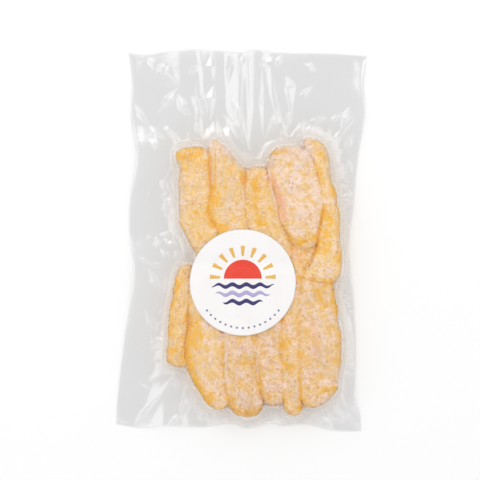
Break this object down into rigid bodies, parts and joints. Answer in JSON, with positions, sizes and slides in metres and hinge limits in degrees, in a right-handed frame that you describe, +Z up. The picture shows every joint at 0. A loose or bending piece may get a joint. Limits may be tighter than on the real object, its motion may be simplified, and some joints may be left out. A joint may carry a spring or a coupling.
{
  "type": "vacuum pack of breaded fish fingers",
  "caption": "Clear vacuum pouch lying flat, drawn tightly over two rows of breaded fish fingers, with a wide creased margin and a round paper label.",
  "frame": {"origin": "on the table, under the middle of the pouch's outline", "axes": "+Y along the pouch's length towards its mouth, +Z up from the table through the labelled side, +X to the right seen from above"},
  "size_m": [0.2007, 0.3052, 0.019],
  "materials": {
    "packed_food": "clear film drawn onto pale golden crumb",
    "clear_film": "clear, glossy and creased, slightly milky",
    "crumb_coating": "floury golden breadcrumb, matt",
    "label_paper": "smooth white label paper, slight sheen",
    "label_ink": "flat printing ink in red, gold, navy and slate"
  },
  "bodies": {
    "root": {"pouch": "packed_food", "label": "label_paper"}
  },
  "joints": []
}
